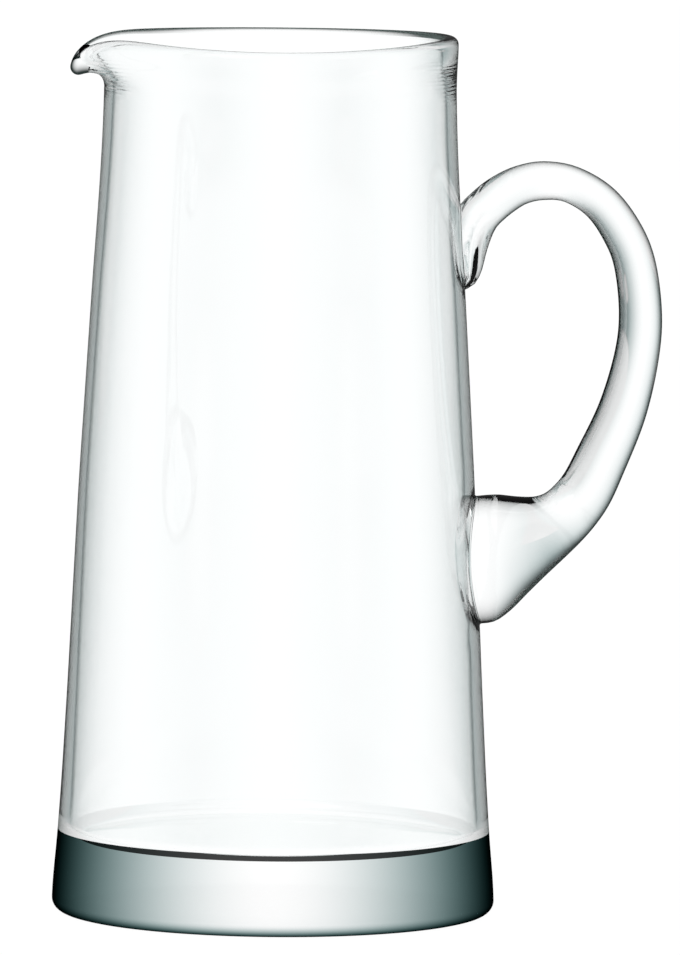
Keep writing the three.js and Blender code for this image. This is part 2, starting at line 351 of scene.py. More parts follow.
@dataclass
class Handle:
    """The drawn handle: a pad pressed onto the wall, the loop, and a tail pressed on above it.

    Each row of the edge shares holds the loop's inner edge and its outer edge, as shares of the reach out
    from the wall and of the rise from the pad to the crown, and the width as a share of the rod's.
    """

    vessel: Vessel
    reach: float = 51.5
    pad_centre: float = 105.2
    crown: float = 217.9
    rod: float = 12.8
    samples: int = 3000
    crossing_samples: int = 1200
    far_side_slope: float = 0.36
    tail_side_slope: float = 0.25
    tail_side_run: float = 45.0
    far_side_softness: float = 1.0
    folds: tuple[Fold, ...] = (
        Fold(centre=6.0, run=18.0, turn=math.pi, spread=1.22, depth=0.68, edge_power=6.0),
        Fold(centre=176.0, run=9.0, turn=0.0, spread=0.45, depth=0.75, edge_power=2.0),
    )
    edge_shares: tuple[tuple[float, ...], ...] = (
        (-0.045, 0.722, -0.049, 0.729, 0.200),
        (0.024, 0.714, -0.018, 0.741, 0.600),
        (0.091, 0.751, -0.029, 0.772, 1.080),
        (0.141, 0.819, -0.050, 0.846, 1.220),
        (0.191, 0.870, -0.016, 0.923, 1.220),
        (0.247, 0.897, 0.079, 0.971, 1.150),
        (0.314, 0.921, 0.192, 1.009, 1.070),
        (0.386, 0.940, 0.330, 1.038, 1.000),
        (0.481, 0.949, 0.492, 1.051, 0.920),
        (0.596, 0.945, 0.682, 1.037, 0.890),
        (0.720, 0.909, 0.876, 0.985, 0.910),
        (0.807, 0.848, 1.015, 0.902, 0.950),
        (0.862, 0.775, 1.098, 0.802, 0.980),
        (0.876, 0.657, 1.1245, 0.661, 1.000),
        (0.841, 0.552, 1.093, 0.533, 1.040),
        (0.738, 0.417, 0.999, 0.376, 1.120),
        (0.594, 0.292, 0.851, 0.223, 1.226),
        (0.520, 0.232, 0.769, 0.148, 1.297),
        (0.460, 0.199, 0.687, 0.095, 1.406),
        (0.401, 0.177, 0.599, 0.050, 1.562),
        (0.342, 0.168, 0.504, 0.008, 1.797),
        (0.276, 0.167, 0.402, -0.035, 2.109),
        (0.208, 0.169, 0.292, -0.083, 2.422),
        (0.140, 0.172, 0.184, -0.131, 2.656),
        (0.074, 0.171, 0.090, -0.161, 2.781),
        (0.008, 0.168, 0.008, -0.168, 2.812),
        (-0.054, 0.167, -0.070, -0.169, 2.812),
    )

    def __post_init__(self) -> None:
        """Works out the two edge lines in the handle's plane, the width between them, and the length."""
        inner_out, inner_rise, outer_out, outer_rise, wide = np.array(self.edge_shares).T
        edges = []
        for out, rise in ((inner_out, inner_rise), (outer_out, outer_rise)):
            level = blend(self.pad_centre, self.crown, rise)
            edges += [self.vessel.outer_radius(level) + out * self.reach, level]
        stations = np.stack([*edges, wide * self.rod], axis=-1)
        self.line = self.curve(stations, np.linspace(0.0, len(stations) - 1.0, self.samples))
        self.lengths = run_along((self.line[:, 0:2] + self.line[:, 2:4]) / 2.0)

    @staticmethod
    def curve(points: Array, place: Array) -> Array:
        """A smooth curve through points, whose slope at each is half the step between its neighbours.

        Args:
            points: the points, one to a row.
            place: places along the curve, where each whole number is a point.

        Returns:
            The curve's points.
        """
        ends = np.vstack([2.0 * points[0] - points[1], points, 2.0 * points[-1] - points[-2]])
        slopes = (ends[2:] - ends[:-2]) / 2.0
        at = np.minimum(place.astype(int), len(points) - 2)
        return cubic(points[at], points[at + 1], slopes[at], slopes[at + 1], (place - at)[:, None])

    def surface(self, length: Array, turn: Array) -> Array:
        """A point of the handle's surface.

        The section is an ellipse from the inner edge line to the outer one, narrowed by the folds. The
        rod was drawn a little thicker on the side away from the jug, so its two faces part by a slope of
        the distance to the middle line along X, eased in at the section's ends.

        Args:
            length: the length along the middle line.
            turn: the turn round the section, zero on the loop's outer side and a quarter turn at +Y.

        Returns:
            The points, with their coordinates on the last axis.
        """
        inner_x, inner_z, outer_x, outer_z, width = (
            np.interp(length, self.lengths, column) for column in self.line.T
        )
        share = (1.0 + np.cos(turn)) / 2.0
        x = blend(inner_x, outer_x, share)
        away = x - (inner_x + outer_x) / 2.0
        face = np.sin(turn) / np.hypot(np.sin(turn), self.far_side_softness)
        narrowed = 1.0 - sum(fold.share(length, turn) for fold in self.folds)
        slope = self.far_side_slope + self.tail_side_slope * np.exp(-((length / self.tail_side_run) ** 4))
        across = narrowed * np.sin(turn) * width / 2.0 + slope * away * face
        return np.stack([x, across, blend(inner_z, outer_z, share)], axis=-1)

    def crossing(self, turn: Array, end: JointEnd) -> Array:
        """The length at which each line along the handle comes out of the wall, or goes into it.

        Args:
            turn: the lines' turns round the section.
            end: which end of the handle.

        Returns:
            The lengths, one for each line.
        """
        tip = 0.0 if end is JointEnd.TAIL else self.lengths[-1]
        span = np.linspace(tip, self.lengths[-1] / 2.0, self.crossing_samples)
        points = self.surface(span[:, None], turn[None, :])
        clear = np.hypot(points[..., 0], points[..., 1]) - self.vessel.outer_radius(points[..., 2])
        last = len(span) - 1 - np.argmax(clear[::-1] < 0.0, axis=0)
        after = np.minimum(last + 1, len(span) - 1)
        line = np.arange(len(turn))
        near, far = clear[last, line], clear[after, line]
        return blend(span[last], span[after], near / (near - far))


@dataclass
class Joint:
    """A fused joint: the ring where the handle's lines meet the wall, rounded by a small fillet.

    The fine steps space the lines, the probe is the step that slopes are measured over, and the
    smallest size keeps a division from zero.
    """

    handle: Handle
    end: JointEnd
    fillet: float
    half_columns: int
    half_rows: int
    fade: float = 14.0
    fine_steps: int = 12
    probe: float = 0.01
    smallest_size: float = 1.0e-6

    def __post_init__(self) -> None:
        """Spaces the handle's lines evenly round the footprint on the wall, and sets the ring outside."""
        vessel = self.handle.vessel
        count = 4 * (self.half_columns + self.half_rows)
        fine = np.linspace(0.0, 2.0 * math.pi, self.fine_steps * count + 1)
        lengths = self.handle.crossing(fine, self.end)
        run = run_along(self.handle.surface(lengths, fine))
        self.turns = np.interp(np.arange(count) / count * run[-1], run, fine)
        self.lengths = np.interp(self.turns, fine, lengths)
        self.corner = self.handle.surface(self.lengths, self.turns)
        # The wall's face is laid flat: the arc round it is the real part, and the level the other.
        level = self.corner[:, 2]
        angle = np.arctan2(self.corner[:, 1], self.corner[:, 0])
        flat = vessel.outer_radius(level) * angle + 1j * level
        tangent = np.roll(flat, -1) - np.roll(flat, 1)
        normal = -1j * tangent / np.abs(tangent)
        outward = np.sign(np.sum((normal.conj() * (flat - flat.mean())).real))
        ring = flat + outward * self.fillet * normal
        self.ring_level = ring.imag
        self.ring_angle = ring.real / vessel.outer_radius(ring.imag)
        self.ring = vessel.outer_point(self.ring_angle, self.ring_level)
        self.clear_lengths, self.clear_turns = self.clear_of_fillet()

    @property
    def level_span(self) -> tuple[float, float]:
        """The lowest and highest level of the ring."""
        return float(self.ring_level.min()), float(self.ring_level.max())

    @property
    def half_angle(self) -> float:
        """The widest angle of the ring from the handle's plane."""
        return float(np.abs(self.ring_angle).max())

    def ring_places(self, across: Array, up: Array) -> Array:
        """The number of the ring's point that a place on the unit square's edge stands for.

        The count starts at the square's middle on the side of turn zero, which is the pad's underside and
        the tail's top, and goes round by +Y.

        Args:
            across: the place across, from -1 to 1.
            up: the place up, from -1 to 1.

        Returns:
            The numbers, as fractions.
        """
        rise = up if self.end is JointEnd.PAD else -up
        columns, rows = self.half_columns, self.half_rows
        on_side = np.abs(across) >= np.abs(rise)
        right = columns + (rise + 1.0) * rows
        left = 3.0 * columns + 2.0 * rows + (1.0 - rise) * rows
        far = columns + 2.0 * rows + (1.0 - across) * columns
        start = (across * columns) % (4.0 * (columns + rows))
        side = np.where(across > 0.0, right, left)
        return np.where(on_side, side, np.where(rise > 0.0, far, start))

    def grid_places(self, row: int, column: int) -> tuple[Array, Array]:
        """The rows and columns of the wall's grid that hold the ring's points, in the ring's order.

        Args:
            row: the row of the block's middle.
            column: the column of the block's middle.

        Returns:
            The rows and the columns.
        """
        wide, high = self.half_columns, self.half_rows
        right, up = np.meshgrid(np.arange(-wide, wide + 1), np.arange(-high, high + 1))
        on_edge = (np.abs(right) == wide) | (np.abs(up) == high)
        right, up = right[on_edge], up[on_edge]
        order = np.argsort(self.ring_places(right / wide, up / high))
        return row + up[order], column + right[order]

    def shift(self, angle: Array, level: Array, half_angle: float) -> Array:
        """Draws the wall's grid round a block in to the ring, less and less with the distance from it.

        Args:
            angle: the grid's angles.
            level: the grid's levels.
            half_angle: the block's half width as an angle.

        Returns:
            The changes of angle and of level, one above the other.
        """
        low, high = self.level_span
        middle, half = (low + high) / 2.0, (high - low) / 2.0
        across, up = angle / half_angle, (level - middle) / half
        size = np.maximum(np.maximum(np.abs(across), np.abs(up)), self.smallest_size)
        across, up = across / size, up / size
        place = self.ring_places(across, up)
        numbers = np.arange(len(self.ring_level))
        ring_angle, ring_level = (
            np.interp(place, numbers, ring, period=len(numbers))
            for ring in (self.ring_angle, self.ring_level)
        )
        beside = np.maximum(np.abs(angle) - half_angle, 0.0) * self.handle.vessel.outer_radius(level)
        above = np.maximum(np.abs(level - middle) - half, 0.0)
        weight = 1.0 - ease(np.hypot(beside, above) / self.fade)
        return np.stack([ring_angle - across * half_angle, ring_level - middle - up * half]) * weight

    def clear_of_fillet(self) -> tuple[Array, Array]:
        """The places on the handle that are clear of the fillet.

        Each lies the fillet's size away from the footprint, square to it, on the plane that touches the
        handle's surface there. That step is solved for its share along the handle and its share round it.

        Returns:
            The lengths along the handle and the turns round it.
        """
        surface, lengths, turns, small = self.handle.surface, self.lengths, self.turns, self.probe
        along = (surface(lengths + small, turns) - surface(lengths - small, turns)) / (2.0 * small)
        around = (surface(lengths, turns + small) - surface(lengths, turns - small)) / (2.0 * small)
        edge = np.roll(self.corner, -1, axis=0) - np.roll(self.corner, 1, axis=0)
        away = np.cross(np.cross(along, around), edge)
        away = away / np.linalg.norm(away, axis=1, keepdims=True)
        off_wall = np.sign(np.sum(away[:, :2] * self.corner[:, :2], axis=1, keepdims=True))
        away = away * off_wall * self.fillet
        step = np.linalg.pinv(np.stack([along, around], axis=-1)) @ away[..., None]
        return lengths + step[:, 0, 0], turns + step[:, 1, 0]

    def fillet_rows(self, count: int) -> Array:
        """The fillet between the wall and the handle: a parabola that leaves each of them along itself.

        Args:
            count: how many rows, without the ring on the wall.

        Returns:
            The rows' points, from the wall to the handle.
        """
        share = even_shares(count)[..., None]
        clear = self.handle.surface(self.clear_lengths, self.clear_turns)
        start = self.ring * (1.0 - share) ** 2
        return start + self.corner * 2.0 * share * (1.0 - share) + clear * share ** 2


@dataclass
class GlassJug:
    """The whole jug as one closed skin of glass.

    The two joints' rings have the same number of points, four times their half columns and half rows
    together, because each point is the end of one of the handle's lines.
    """

    vessel: Vessel
    handle: Handle
    tail_fillet: float = 0.5
    tail_half_columns: int = 6
    tail_half_rows: int = 18
    pad_fillet: float = 0.6
    pad_half_columns: int = 12
    pad_half_rows: int = 12
    free_half_columns: int = 85
    lip_spacing_share: float = 0.62
    row_step: float = 3.0
    lip_rows: int = 18
    rim_rows: int = 18
    foot_rows: int = 9
    floor_rows: int = 14
    base_rows: int = 6
    cove_rows: int = 12
    inner_rows: int = 72
    fillet_rows: int = 5
    tail_run: float = 44.0
    pad_run: float = 34.0
    rod_step: float = 1.7
    tail_count_share: float = 0.8
    rim_edge_shares: tuple[float, float] = (0.42, 0.85)
    lip_edge_share: float = 0.5
    lip_edge_rows: int = 5

    def __post_init__(self) -> None:
        """Sets the two joints."""
        tail_halves = self.tail_half_columns, self.tail_half_rows
        pad_halves = self.pad_half_columns, self.pad_half_rows
        self.tail = Joint(self.handle, JointEnd.TAIL, self.tail_fillet, *tail_halves)
        self.pad = Joint(self.handle, JointEnd.PAD, self.pad_fillet, *pad_halves)

    def column_angles(self) -> Array:
        """The angles of the wall's columns, from the lip round by the handle.

        They are even beside the pad, and closer together again at the lip. Between, a cubic in the
        column's number passes smoothly from the one spacing to the other.

        Returns:
            The angles, in order, from just after -180 degrees to 180 degrees.
        """
        step = self.pad.half_angle / self.pad_half_columns
        near = np.arange(self.pad_half_columns + 1) * step
        leave = step * self.free_half_columns
        share = even_shares(self.free_half_columns)[:, 0]
        free = cubic(near[-1], math.pi, leave, self.lip_spacing_share * leave, share)
        half = np.concatenate([near, free])
        return np.concatenate([-half[1:-1][::-1], half])

    def row_levels(self) -> tuple[Array, int, int]:
        """The levels of the outer face's rows up to the lip's root.

        Returns:
            The levels, and the rows that hold the middles of the pad's and the tail's blocks.
        """
        vessel = self.vessel
        marks = [vessel.foot_rounding, vessel.floor_level, *self.pad.level_span, *self.tail.level_span]
        marks.append(vessel.lip_root)
        spans = list(zip(marks, marks[1:]))
        counts = [math.ceil((high - low) / self.row_step) for low, high in spans]
        # The base, the pad's block and the tail's block have counts of their own.
        counts[0], counts[2], counts[4] = self.base_rows, 2 * self.pad_half_rows, 2 * self.tail_half_rows
        parts = [np.linspace(*span, count + 1)[1:] for span, count in zip(spans, counts)]
        pad_middle = sum(counts[:2]) + self.pad_half_rows - 1
        tail_middle = sum(counts[:4]) + self.tail_half_rows - 1
        return np.concatenate(parts), pad_middle, tail_middle

    def wall_rows(self, angles: Array) -> tuple[Array, int, int]:
        """The vessel's rows of points, from the underside up the outside, over the rim and down inside.

        Args:
            angles: the columns' angles.

        Returns:
            The rows, and the rows that hold the middles of the pad's and the tail's blocks.
        """
        vessel = self.vessel
        levels, pad_middle, tail_middle = self.row_levels()
        grid = np.stack(np.meshgrid(angles, levels))
        tail_half = angles[np.argmin(np.abs(angles)) + self.tail_half_columns]
        pad_shift = self.pad.shift(*grid, self.pad.half_angle)
        grid = grid + pad_shift + self.tail.shift(*grid, tail_half)
        rise = 1.0 + even_shares(self.lip_rows)
        turn = math.pi * (0.5 - even_shares(self.rim_rows))
        cove_top = (vessel.floor_level + vessel.floor_cove) / vessel.lip_root
        down = np.concatenate([rise[-2::-1], np.linspace(1.0, cove_top, self.inner_rows + 1)[:, None]])
        bottom = vessel.underside_and_foot(angles, self.floor_rows, self.foot_rows)
        rows = [
            bottom,
            vessel.outer_point(*grid),
            vessel.wall_point(angles, rise, Face.OUTER.value),
            vessel.wall_point(angles, 2.0, turn),
            vessel.wall_point(angles, down, Face.INNER.value),
            vessel.cove_and_floor(angles, self.cove_rows, self.floor_rows),
        ]
        return np.concatenate(rows), len(bottom) + pad_middle, len(bottom) + tail_middle

    def handle_rows(self) -> Array:
        """The handle's rows of points between the two rings on the wall.

        Returns:
            The rows, from the tail's fillet over the loop to the pad's fillet.
        """
        count = len(self.tail.turns)
        even = np.arange(count) / count * 2.0 * math.pi
        start, end = self.tail_run, self.handle.lengths[-1] - self.pad_run
        tail_count = math.ceil(start / self.rod_step * self.tail_count_share)
        share = np.linspace(0.0, 1.0, tail_count)[1:-1, None]
        length = blend(self.tail.clear_lengths, start, share)
        tail = self.handle.surface(length, blend(self.tail.clear_turns, even, ease(share)))
        length = np.linspace(start, end, math.ceil((end - start) / self.rod_step))[:, None]
        rod = self.handle.surface(*np.broadcast_arrays(length, even))
        share = np.linspace(0.0, 1.0, math.ceil(self.pad_run / self.rod_step))[1:-1, None]
        length = blend(end, self.pad.clear_lengths, share)
        pad = self.handle.surface(length, blend(even, self.pad.clear_turns, ease(share)))
        tail_fillet = self.tail.fillet_rows(self.fillet_rows)
        pad_fillet = self.pad.fillet_rows(self.fillet_rows)[::-1]
        return np.concatenate([tail_fillet, tail, rod, pad, pad_fillet])

    def build(self) -> Object:
        """Builds the skin: the wall's grid with a block left out at each joint, and the handle between.

        Returns:
            The jug's object.
        """
        vessel = self.vessel
        angles = self.column_angles()
        grid, pad_row, tail_row = self.wall_rows(angles)
        rows, columns = grid.shape[:2]
        middle = int(np.argmin(np.abs(angles)))
        numbers = np.arange(rows * columns).reshape(rows, columns)
        kept = np.ones((rows, columns), bool)
        rings = []
        for joint, row in ((self.tail, tail_row), (self.pad, pad_row)):
            places = joint.grid_places(row, middle)
            grid[places] = joint.ring
            rings.append(numbers[places])
            high, wide = joint.half_rows, joint.half_columns
            kept[row - high:row + high, middle - wide:middle + wide] = False
        beside = np.roll(numbers, -1, axis=1)
        walls = np.stack([numbers[:-1], beside[:-1], beside[1:], numbers[1:]], axis=-1)[kept[:-1]]
        tube = self.handle_rows()
        tube_numbers = rows * columns + np.arange(tube.shape[0] * tube.shape[1]).reshape(tube.shape[:2])
        lines = np.concatenate([rings[0][None], tube_numbers, rings[1][None]])
        next_lines = np.roll(lines, -1, axis=1)
        tubes = np.stack([lines[:-1], lines[1:], next_lines[1:], next_lines[:-1]], axis=-1).reshape(-1, 4)
        poles = [[0.0, 0.0, vessel.underside_dish], [0.0, 0.0, vessel.floor_level + vessel.floor_crown]]
        points = np.concatenate([grid.reshape(-1, 3), tube.reshape(-1, 3), poles])
        under, floor = len(points) - 2, len(points) - 1
        first, last = numbers[0], numbers[-1]
        under_fan = np.stack([np.full(columns, under), np.roll(first, -1), first], axis=-1)
        floor_fan = np.stack([np.full(columns, floor), last, np.roll(last, -1)], axis=-1)
        made = mesh_object("jug_glass", points, [walls, tubes, under_fan, floor_fan])
        slots = [self.wall_slots(angles, kept)]
        for fan, slot in ((tubes, Slot.HANDLE), (under_fan, Slot.BASE), (floor_fan, Slot.FLOOR)):
            slots.append(np.full(len(fan), slot))
        glasses = {
            Slot.WALL: ClearGlass(), Slot.BASE: DeepGlass(), Slot.HANDLE: DrawnGlass(),
            Slot.RIM: RimGlass(), Slot.INSIDE: InnerGlass(), Slot.LIP: LipGlass(),
            Slot.FLOOR: FloorGlass(),
        }
        for slot in Slot:
            made.data.materials.append(glasses[slot].material())
        made.data.polygons.foreach_set("material_index", np.concatenate(slots))
        return made

    def wall_slots(self, angles: Array, kept: Array) -> Array:
        """The material slot of each of the vessel's faces.

        The base's finish covers the solid base outside, and the lip's covers the lip's whole round edge.
        The rim's is on the inner side of the round edge elsewhere, and the floor's is on the cove too.

        Args:
            angles: the columns' angles.
            kept: which of the grid's faces are kept.

        Returns:
            The slot numbers of the kept faces.
        """
        row = np.arange(len(kept))[:, None]
        floor = len(kept) - (self.cove_rows + self.floor_rows - 1)
        inside = floor - self.inner_rows - self.lip_rows
        rim = inside - self.rim_rows
        low, high = (rim + round(share * self.rim_rows) for share in self.rim_edge_shares)
        lip = self.vessel.lip_share(angles) > self.lip_edge_share
        slots = np.full(kept.shape, Slot.WALL)
        slots[:self.floor_rows + self.foot_rows + self.base_rows] = Slot.BASE
        slots[inside:floor] = Slot.INSIDE
        slots[floor:] = Slot.FLOOR
        slots[(row >= low) & (row < high) & ~lip] = Slot.RIM
        slots[(row >= rim - self.lip_edge_rows) & (row < inside) & lip] = Slot.LIP
        return slots[:-1][kept[:-1]]


def linked_object(name: str, data: ID) -> Object:
    """Makes an object from its data and links it to the scene."""
    made = bpy.data.objects.new(name, data)
    bpy.context.scene.collection.objects.link(made)
    return made


def mesh_object(name: str, points_mm: Array, faces: list[Array]) -> Object:
    """Makes a smooth-shaded object at the origin from points in millimetres, without its unused points.

    Args:
        name: the object's name.
        points_mm: the points, one to a row.
        faces: arrays of the points' numbers, one face to a row.

    Returns:
        The linked object.
    """
    used = np.unique(np.concatenate([part.ravel() for part in faces]))
    mesh = bpy.data.meshes.new(name)
    corners = [face for part in faces for face in np.searchsorted(used, part).tolist()]
    mesh.from_pydata((points_mm[used] * METRES_PER_MM).tolist(), [], corners)
    mesh.polygons.foreach_set("use_smooth", np.ones(len(corners), bool))
    mesh.update()
    return linked_object(name, mesh)


def linear(hex_colour: str) -> tuple[float, float, float, float]:
    """Turns an sRGB hex value into a linear colour.

    Args:
        hex_colour: six hex digits after a number sign.

    Returns:
        Red, green, blue and an alpha of one.
    """
    parts = [int(hex_colour[at:at + 2], 16) / 255.0 for at in (1, 3, 5)]
    red, green, blue = (p / 12.92 if p <= 0.04045 else ((p + 0.055) / 1.055) ** 2.4 for p in parts)
    return red, green, blue, 1.0


def add_node(
    tree: NodeTree, kind: str, settings: dict[str, str] | None = None, *values: object, **inputs: object,
) -> Node:
    """Adds a shader node with its settings and its inputs.

    Args:
        tree: the node tree.
        kind: the node's type name, without the ShaderNode in front.
        settings: the node's own properties.
        values: the first inputs in their order. Each is a value, the output that is linked to the
            input, or a node whose first output is.
        inputs: further inputs. A name is the socket's name in small letters with underscores, or at_
            with its number.

    Returns:
        The node.
    """
    node = tree.nodes.new("ShaderNode" + kind)
    for name, value in (settings or {}).items():
        setattr(node, name, value)
    sockets = {f"at_{number}": socket for number, socket in enumerate(node.inputs)}
    for socket in reversed(node.inputs):
        sockets[socket.name.lower().replace(" ", "_")] = socket
    inputs.update((f"at_{number}", value) for number, value in enumerate(values))
    for name, value in inputs.items():
        socket = sockets[name]
        if isinstance(value, Node):
            value = value.outputs[0]
        if isinstance(value, NodeSocket):
            tree.links.new(value, socket)
        else:
            socket.default_value = value
    return node


def facing_share(tree: NodeTree, dark_cosine: float, clear_cosine: float) -> Node:
    """How far a face is turned to the eye: zero at a grazing angle and one head on, eased between.

    Args:
        tree: the material's node tree.
        dark_cosine: the cosine of the angle to the surface up to which it is zero.
        clear_cosine: the cosine from which on it is one.

    Returns:
        The node that holds the share.
    """
    facing = add_node(tree, "LayerWeight").outputs["Facing"]
    dark, clear = 1.0 - dark_cosine, 1.0 - clear_cosine
    return add_node(tree, "MapRange", EASED, facing, dark, clear)


def green_fall(tree: NodeTree, cosine: Node, red_power: float, green_power: float) -> Node:
    """A white that falls off to a green black with an angle: each part is a power of the angle's cosine.

    Args:
        tree: the node tree.
        cosine: the node that holds the cosine.
        red_power: the red's power, the higher one.
        green_power: the power of the green and the blue.

    Returns:
        The node that holds the colour.
    """
    red, green = (add_node(tree, "Math", POWER, cosine, p) for p in (red_power, green_power))
    return add_node(tree, "CombineColor", red=red, green=green, blue=green)


class Finish:
    """What the finishes share: each has a name, and a surface method that adds its own nodes."""

    name: str

    def surface(self, tree: NodeTree) -> Node:
        """Adds the finish's nodes to a tree, and returns the one that holds its shader."""
        raise NotImplementedError

    def material(self) -> Material:
        """Builds the finish's material.

        Returns:
            The material.
        """
        made = bpy.data.materials.new(self.name)
        made.use_nodes = True
        made.node_tree.nodes.clear()
        add_node(made.node_tree, "OutputMaterial", surface=self.surface(made.node_tree))
        return made


@dataclass(frozen=True)
class PolishedGlass(Finish):
    """Clear soda-lime glass with a smooth, wet-looking gloss, darker where light enters it edge on: a
    painted edge shade.
    """

    name: str
    # edge is the colour of the painted shade at grazing angles; clear is the glass's own faint tint
    edge: str
    dark_cosine: float
    clear_cosine: float
    clear: str = "#FDFEFE"
    refraction: float = 1.5
    roughness: float = 0.0

    def relief(self, tree: NodeTree) -> dict[str, Node]:
        """The shader's inputs for a relief that is too fine for the mesh. Most of the glass has none."""
        return {}

    def unshaded_share(self, tree: NodeTree) -> Node:
        """How free of the painted edge shade the glass is where light enters it, from the angle to the
        surface.
        """
        return facing_share(tree, self.dark_cosine, self.clear_cosine)

    def surface(self, tree: NodeTree) -> Node:
        """The glass, which tints the light that enters from the edge colour to clear. The edge colour is
        painted shade.

        Args:
            tree: the material's node tree.

        Returns:
            The shader.
        """
        leaving = add_node(tree, "NewGeometry").outputs["Backfacing"]
        entering = self.unshaded_share(tree)
        share = add_node(tree, "Math", {"operation": "MAXIMUM"}, entering, leaving)
        # Painted shade: the edge colour at a grazing angle, clear head on
        edge, clear = linear(self.edge), linear(self.clear)
        tint_and_painted_shade = add_node(tree, "Mix", {"data_type": "RGBA"}, share, at_6=edge, at_7=clear)
        return self.shader(tree, tint_and_painted_shade.outputs["Result"])

    def shader(self, tree: NodeTree, tint_and_painted_shade: NodeSocket) -> Node:
        """The glass itself, which bends the light and takes the tint with its painted edge shade."""
        look = {"base_color": tint_and_painted_shade, "roughness": self.roughness, "ior": self.refraction}
        return add_node(tree, "BsdfPrincipled", **look, transmission_weight=1.0, **self.relief(tree))


@dataclass(frozen=True)
class ClearGlass(PolishedGlass):
    """The wall's glass, blown and fire-polished, with a faint painted grey shade at its edge, in the
    glass's own faint green.

    The tools that opened the mouth left fine level rings in the soft glass under the rim, at the lip's
    side and at the handle's. Their height is a sine of the level, at the rings' pitch, and dies away
    above, below, and towards the front and the back.
    """

    name: str = "fire_polished_soda_lime_glass"
    # A painted grey shade at grazing angles, tinted with the glass's own faint green
    edge: str = "#707A78"
    dark_cosine: float = 0.03
    clear_cosine: float = 0.55
    ring_pitch: float = 1.15
    ring_height: float = 0.02
    ring_low: float = 237.0
    ring_high: float = 256.0
    ring_fade: float = 7.0
    ring_end: float = 34.0
    ring_full: float = 16.0

    def relief(self, tree: NodeTree) -> dict[str, Node]:
        """The rings, as a bump of the surface.

        Args:
            tree: the material's node tree.

        Returns:
            The shader's normal.
        """
        place = add_node(tree, "TexCoord")
        split = add_node(tree, "SeparateXYZ", vector=place.outputs["Object"])
        level = split.outputs["Z"]
        aside = add_node(tree, "Math", UNSIGNED, split.outputs["Y"])
        turns_per_metre = math.tau / (self.ring_pitch * METRES_PER_MM)
        phase = add_node(tree, "Math", TIMES, level, turns_per_metre)
        rings = add_node(tree, "Math", {"operation": "SINE"}, phase)
        fades = (
            (level, self.ring_low, self.ring_low + self.ring_fade),
            (level, self.ring_high, self.ring_high - self.ring_fade),
            (aside, self.ring_end, self.ring_full),
        )
        for where, gone, full in fades:
            gone, full = gone * METRES_PER_MM, full * METRES_PER_MM
            share = add_node(tree, "MapRange", EASED, where, gone, full)
            rings = add_node(tree, "Math", TIMES, rings, share)
        height = self.ring_height * METRES_PER_MM
        return {"normal": add_node(tree, "Bump", strength=1.0, distance=height, height=rings)}


@dataclass(frozen=True)
class InnerGlass(PolishedGlass):
    """The wall's inner face, smooth from the bubble it was blown as: a thin dark line of painted shade
    along its edge.
    """

    name: str = "blown_inside_of_soda_lime_glass"
    # The colour of the painted dark shade line along the edge
    edge: str = "#1A2220"
    dark_cosine: float = 0.11
    clear_cosine: float = 0.23


@dataclass(frozen=True)
class FloorGlass(PolishedGlass):
    """The inner floor and its cove, smooth from the bubble, over the solid base: clear and bright, with a
    faint painted shade at a grazing angle.
    """

    name: str = "blown_floor_of_soda_lime_glass"
    # The colour of the faint painted shade at grazing angles
    edge: str = "#DDE6E4"
    dark_cosine: float = 0.02
    clear_cosine: float = 0.3


@dataclass(frozen=True)
class DrawnGlass(PolishedGlass):
    """The handle's glass, drawn out hot and fire-polished: a thick, clear rod with a painted shade at its
    edge.

    The inner side of the loop, which looks back at the jug, has a painted shade that reaches further in.
    That comes in with the distance from the jug's axis and as the face turns to the jug.
    """

    name: str = "drawn_soda_lime_glass"
    # The colour of the painted edge shade
    edge: str = "#0E1614"
    dark_cosine: float = 0.2
    clear_cosine: float = 0.85
    # The wider painted shade on the loop's inner side: its angles, and where it starts and is full
    loop_dark_cosine: float = 0.5
    loop_clear_cosine: float = 1.05
    loop_start: float = 82.0
    loop_full: float = 94.0
    inward_cosine: float = 0.5

    def unshaded_share(self, tree: NodeTree) -> Node:
        """The rod's share free of the painted edge shade, and on the inner side of the loop the share
        under the loop's wider painted shade.

        Args:
            tree: the material's node tree.

        Returns:
            The node that holds the share.
        """
        place = add_node(tree, "TexCoord").outputs
        where, turned = (
            add_node(tree, "SeparateXYZ", vector=place[kind]).outputs["X"]
            for kind in ("Object", "Normal")
        )
        start, full = self.loop_start * METRES_PER_MM, self.loop_full * METRES_PER_MM
        away = add_node(tree, "MapRange", EASED, where, start, full)
        inward = add_node(tree, "MapRange", EASED, turned, 0.0, -self.inward_cosine)
        loop = add_node(tree, "Math", TIMES, away, inward)
        rod = facing_share(tree, self.dark_cosine, self.clear_cosine)
        inner = facing_share(tree, self.loop_dark_cosine, self.loop_clear_cosine)
        return add_node(tree, "Mix", {"data_type": "FLOAT"}, loop, at_2=rod, at_3=inner)


@dataclass(frozen=True)
class RimGlass(PolishedGlass):
    """The inner side of the rim's round edge, fire-polished: a thin dark line of painted shade where
    light bends away.
    """

    name: str = "fire_polished_rim_of_soda_lime_glass"
    # The colour of the painted dark shade line
    edge: str = "#18211F"
    dark_cosine: float = 0.45
    clear_cosine: float = 0.85


@dataclass(frozen=True)
class LipGlass(PolishedGlass):
    """The lip's round edge, drawn out thin and fire-polished: the view passes straight through, with a
    painted shade at its outline.
    """

    name: str = "fire_polished_lip_of_soda_lime_glass"
    # The colour of the painted edge shade
    edge: str = "#2A3432"
    dark_cosine: float = 0.2
    clear_cosine: float = 0.55

    def shader(self, tree: NodeTree, tint_and_painted_shade: NodeSocket) -> Node:
        """Thin glass, which lets the light pass straight on with the tint and its painted edge shade."""
        return add_node(tree, "BsdfTransparent", color=tint_and_painted_shade)


